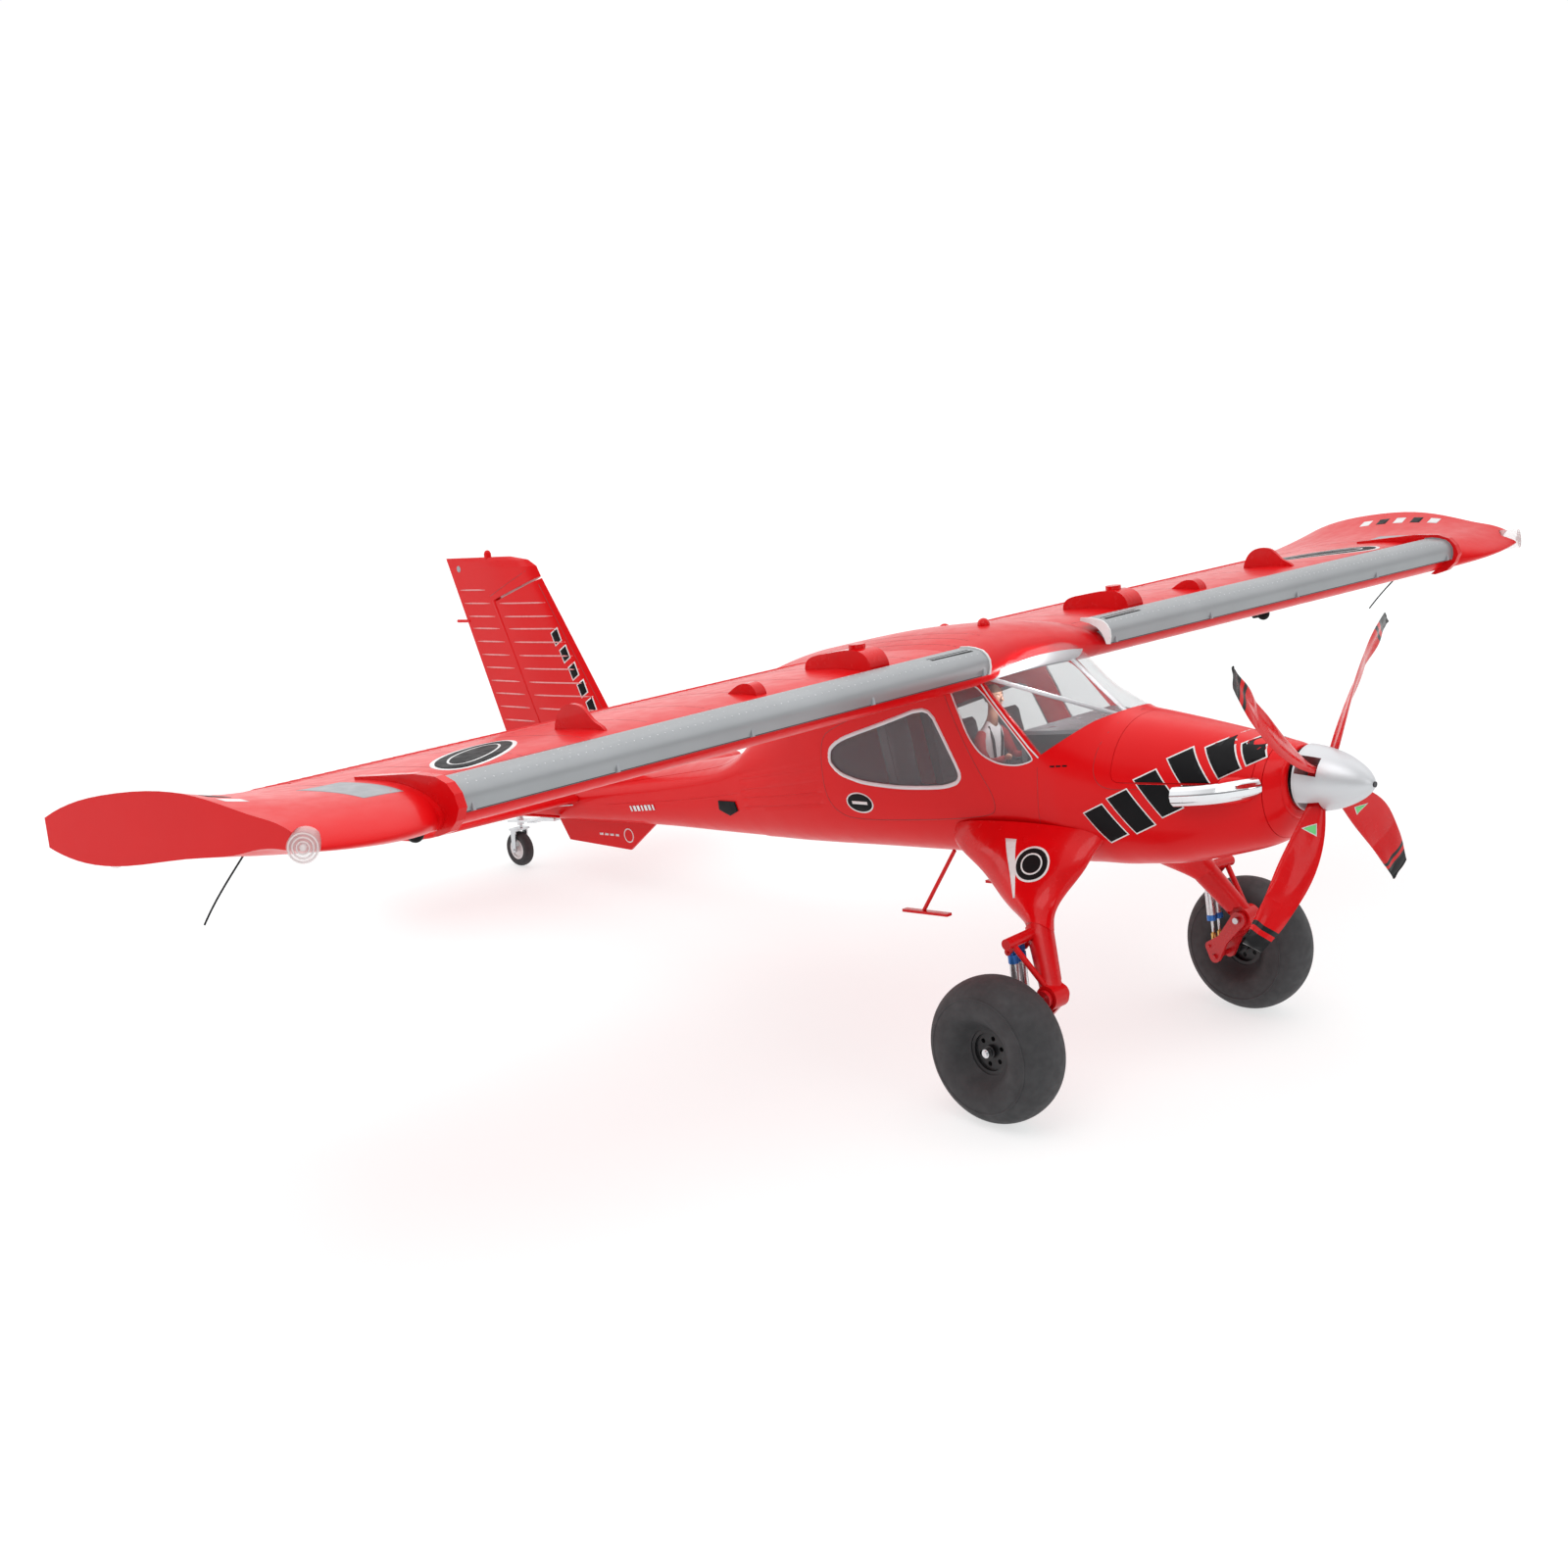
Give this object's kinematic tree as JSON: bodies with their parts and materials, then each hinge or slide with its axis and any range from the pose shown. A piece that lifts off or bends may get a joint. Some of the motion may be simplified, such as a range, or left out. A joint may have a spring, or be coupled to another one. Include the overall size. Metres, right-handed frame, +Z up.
{
  "type": "radio controlled aircraft model",
  "caption": "High-wing foam bush-plane flying model with balloon tyres, trailing-link sprung gear, leading-edge slats, working flaps, ailerons, elevator, rudder and turning propeller.",
  "frame": {"origin": "centre of the footprint of the whole model, on the floor that the three tyres stand on", "axes": "+X towards the nose, +Y towards the model's left wing tip, +Z up; the fuselage sits nose-up at 7.5 degrees as the tail wheel makes it"},
  "size_m": [1.4824, 2, 0.5042],
  "materials": {
    "red_foam": "gloss",
    "slat_silver": "satin",
    "clear_sheet": "gloss",
    "pale_rim": "satin",
    "black_plastic": "satin",
    "red_plastic": "gloss",
    "bright_metal": "satin",
    "chrome_pipe": "gloss",
    "red_metal": "satin",
    "steel": "satin",
    "tyre_rubber": "matte",
    "grey_plastic": "satin",
    "blade_plastic": "gloss",
    "motor_metal": "satin",
    "battery_wrap": "satin",
    "figure": "matte",
    "white_plastic": "satin",
    "carbon_tube": "satin"
  },
  "bodies": {
    "airframe": {"wing_left": "red_foam", "wing_right": "red_foam", "wing_center_section": "red_foam", "stabiliser": "red_foam", "tail_cone": "red_foam", "fin": "red_foam", "fuselage_cabin": "red_foam", "nose_cowl": "red_foam", "ventral_fin": "red_foam", "slat_left": "slat_silver", "slat_right": "slat_silver", "slat_brackets": "grey_plastic", "spar_tubes": "carbon_tube", "wing_top_fairings": "red_plastic", "wing_lights": "clear_sheet", "wing_aerials": "black_plastic", "stabiliser_struts": "red_plastic", "windshield": "clear_sheet", "side_windows": "clear_sheet", "windshield_frame": "grey_plastic", "exhaust_stacks": "chrome_pipe", "gear_legs": "red_plastic", "gear_struts": "red_metal", "gear_bolts": "steel", "tailwheel_bracket": "bright_metal", "motor_base": "motor_metal", "cockpit_tub": "grey_plastic", "seats": "grey_plastic", "pilot_figure": "figure", "battery": "battery_wrap", "speed_controller": "black_plastic", "receiver": "black_plastic", "servos": "black_plastic", "entry_steps": "red_plastic"},
    "hatch": {"battery_hatch": "red_foam"},
    "propeller": {"propeller_blades": "blade_plastic", "spinner": "bright_metal", "spinner_backplate": "bright_metal", "motor_bell": "motor_metal"},
    "aileron_left": {"aileron_left": "red_foam"},
    "aileron_right": {"aileron_right": "red_foam"},
    "flap_left": {"flap_left": "red_foam"},
    "flap_right": {"flap_right": "red_foam"},
    "elevator": {"elevator": "red_foam"},
    "rudder": {"rudder": "red_foam"},
    "pushrod": {"elevator_pushrod": "steel"},
    "tailwheel_steer": {"tailwheel_fork": "steel"},
    "tailwheel": {"tailwheel_tyre": "tyre_rubber", "tailwheel_hub": "white_plastic"},
    "gear_arm_left": {"gear_arm_left": "red_metal"},
    "gear_arm_right": {"gear_arm_right": "red_metal"},
    "wheel_left": {"tyre_left": "tyre_rubber", "wheel_hub_left": "black_plastic"},
    "wheel_right": {"tyre_right": "tyre_rubber", "wheel_hub_right": "black_plastic"},
    "shock_body_left": {"shock_bodies_left": "bright_metal"},
    "shock_body_right": {"shock_bodies_right": "bright_metal"},
    "shock_rod_left": {"shock_rods_left": "steel"},
    "shock_rod_right": {"shock_rods_right": "steel"}
  },
  "joints": [
    {"name": "hatch_lift", "type": "slide", "parent": "airframe", "child": "hatch", "axis": [-0.1305, 0, 0.9914], "range_m": [0, 0.06]},
    {"name": "propeller_spin", "type": "hinge", "parent": "airframe", "child": "propeller", "pos_m": [0.68349, 0, 0.35681], "axis": [0.9969, 0, 0.0785], "continuous": true},
    {"name": "aileron_left_hinge", "type": "hinge", "parent": "airframe", "child": "aileron_left", "pos_m": [0.10816, 0.64, 0.4013], "axis": [0, 1, 0], "range_deg": [-25, 25]},
    {"name": "flap_left_hinge", "type": "hinge", "parent": "airframe", "child": "flap_left", "pos_m": [0.10816, 0.29, 0.4013], "axis": [0, -1, 0], "range_deg": [0, 40]},
    {"name": "aileron_right_hinge", "type": "hinge", "parent": "airframe", "child": "aileron_right", "pos_m": [0.10816, -0.64, 0.4013], "axis": [0, 1, 0], "range_deg": [-25, 25]},
    {"name": "flap_right_hinge", "type": "hinge", "parent": "airframe", "child": "flap_right", "pos_m": [0.10816, -0.29, 0.4013], "axis": [0, -1, 0], "range_deg": [0, 40]},
    {"name": "elevator_hinge", "type": "hinge", "parent": "airframe", "child": "elevator", "pos_m": [-0.53089, 0, 0.1223], "axis": [0, 1, 0], "range_deg": [-25, 25]},
    {"name": "rudder_hinge", "type": "hinge", "parent": "airframe", "child": "rudder", "pos_m": [-0.49577, 0, 0.13902], "axis": [-0.4974, 0, 0.8675], "range_deg": [-28, 28]},
    {"name": "pushrod_slide", "type": "slide", "parent": "airframe", "child": "pushrod", "axis": [0.9596, 0.1974, 0.2003], "range_m": [-0.0075, 0.0075]},
    {"name": "tailwheel_steering", "type": "hinge", "parent": "airframe", "child": "tailwheel_steer", "pos_m": [-0.60338, 0, 0.06232], "axis": [-0.1305, 0, 0.9914], "range_deg": [-28, 28]},
    {"name": "tailwheel_spin", "type": "hinge", "parent": "tailwheel_steer", "child": "tailwheel", "pos_m": [-0.60748, 0, 0.0245], "axis": [0, 1, 0], "continuous": true},
    {"name": "gear_arm_left_pivot", "type": "hinge", "parent": "airframe", "child": "gear_arm_left", "pos_m": [0.48421, 0.17, 0.12683], "axis": [0, 1, 0], "range_deg": [0, 12], "stiffness_Nm_per_rad": 4, "springref_deg": -14.32},
    {"name": "wheel_left_spin", "type": "hinge", "parent": "gear_arm_left", "child": "wheel_left", "pos_m": [0.45552, 0.2225, 0.077], "axis": [0, 1, 0], "continuous": true},
    {"name": "shock_body_left_pivot", "type": "hinge", "parent": "airframe", "child": "shock_body_left", "pos_m": [0.4357, 0.17, 0.16583], "axis": [0, 1, 0], "range_deg": [0, 6]},
    {"name": "shock_rod_left_stroke", "type": "slide", "parent": "shock_body_left", "child": "shock_rod_left", "axis": [-0.1556, 0, 0.9878], "range_m": [0, 0.0105]},
    {"name": "gear_arm_right_pivot", "type": "hinge", "parent": "airframe", "child": "gear_arm_right", "pos_m": [0.48421, -0.17, 0.12683], "axis": [0, 1, 0], "range_deg": [0, 12], "stiffness_Nm_per_rad": 4, "springref_deg": -14.32},
    {"name": "wheel_right_spin", "type": "hinge", "parent": "gear_arm_right", "child": "wheel_right", "pos_m": [0.45552, -0.2225, 0.077], "axis": [0, 1, 0], "continuous": true},
    {"name": "shock_body_right_pivot", "type": "hinge", "parent": "airframe", "child": "shock_body_right", "pos_m": [0.4357, -0.17, 0.16583], "axis": [0, 1, 0], "range_deg": [0, 6]},
    {"name": "shock_rod_right_stroke", "type": "slide", "parent": "shock_body_right", "child": "shock_rod_right", "axis": [-0.1556, 0, 0.9878], "range_m": [0, 0.0105]}
  ],
  "couplings": [
    {"joint": "aileron_right_hinge", "follows": "aileron_left_hinge", "ratio": -1},
    {"joint": "flap_right_hinge", "follows": "flap_left_hinge", "ratio": 1},
    {"joint": "pushrod_slide", "follows": "elevator_hinge", "m_per_rad": -0.016},
    {"joint": "tailwheel_steering", "follows": "rudder_hinge", "ratio": 0.9},
    {"joint": "shock_body_left_pivot", "follows": "gear_arm_left_pivot", "ratio": 0.40624},
    {"joint": "shock_rod_left_stroke", "follows": "gear_arm_left_pivot", "m_per_rad": 0.043774},
    {"joint": "shock_body_right_pivot", "follows": "gear_arm_right_pivot", "ratio": 0.40624},
    {"joint": "shock_rod_right_stroke", "follows": "gear_arm_right_pivot", "m_per_rad": 0.043774}
  ]
}
